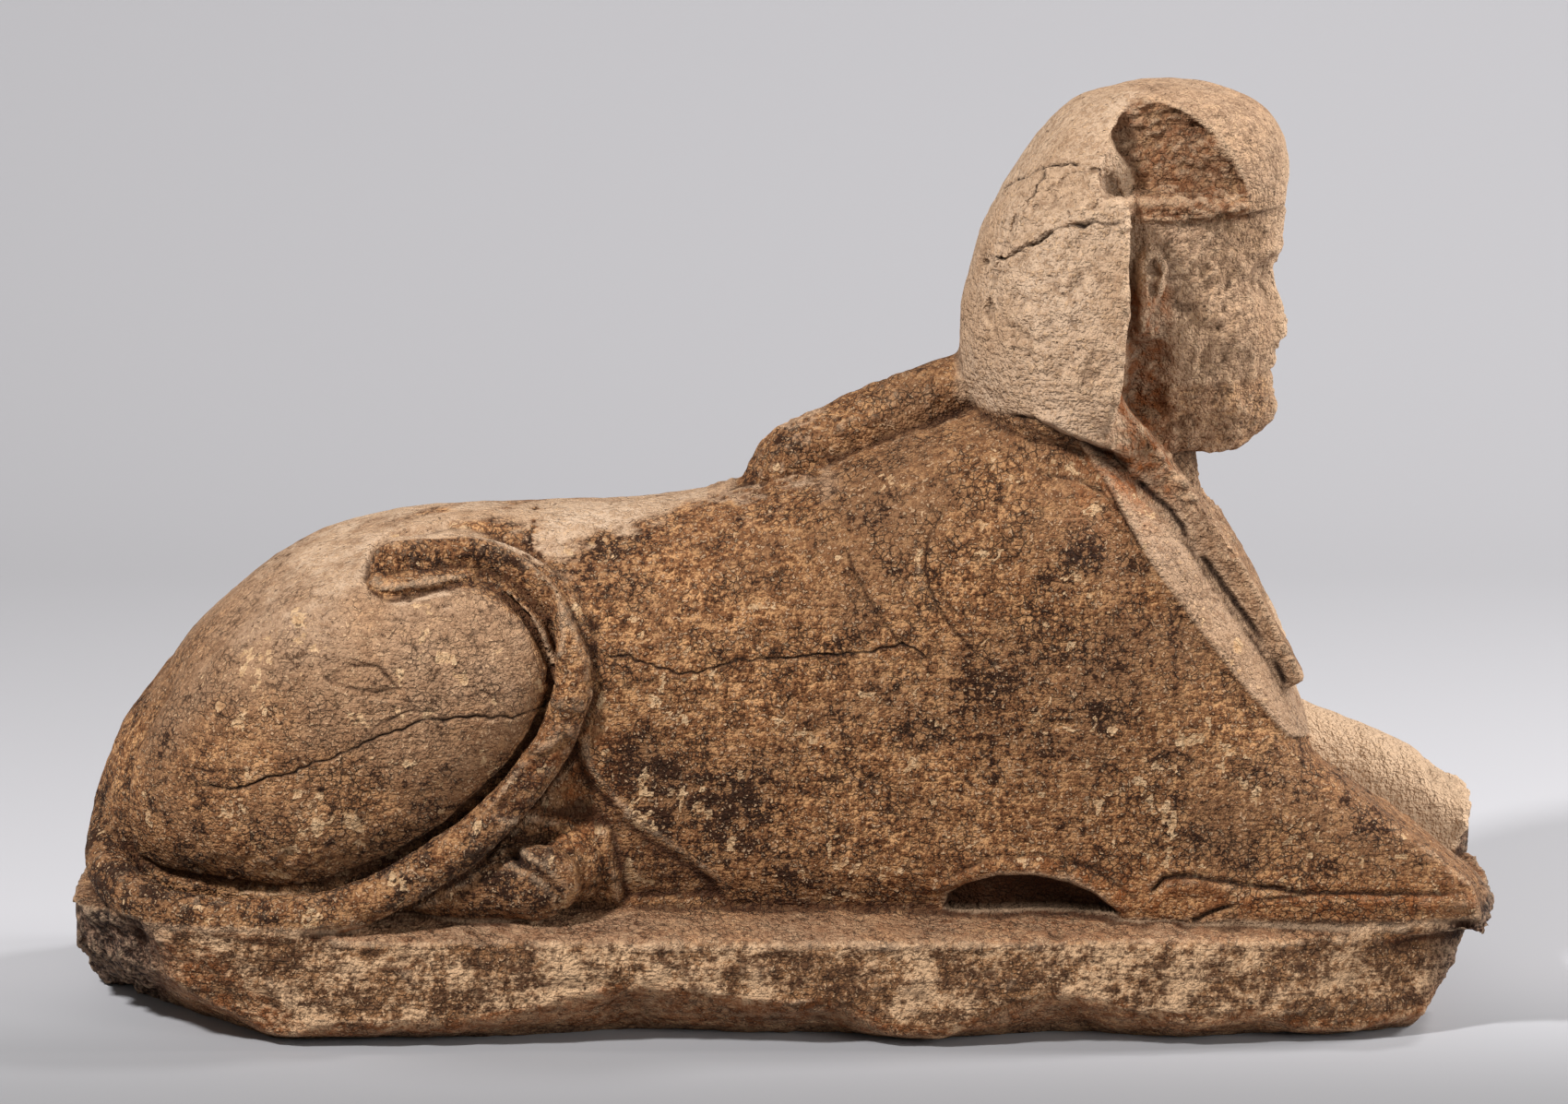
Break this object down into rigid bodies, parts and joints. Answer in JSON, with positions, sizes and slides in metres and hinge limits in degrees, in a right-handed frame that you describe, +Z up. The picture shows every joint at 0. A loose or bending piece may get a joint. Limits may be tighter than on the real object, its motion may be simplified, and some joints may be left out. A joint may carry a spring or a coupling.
{
  "type": "sphinx statue",
  "caption": "Recumbent stone sphinx on its own plinth, with a human head in a nemes headdress and its tail curled over the right haunch.",
  "frame": {"origin": "middle of the plinth's underside", "axes": "+X the way the sphinx looks, +Y towards its left side, +Z up"},
  "size_m": [1.196, 0.4048, 0.778],
  "materials": {
    "limestone": "weathered matt"
  },
  "bodies": {
    "root": {"sphinx": "limestone"}
  },
  "joints": []
}
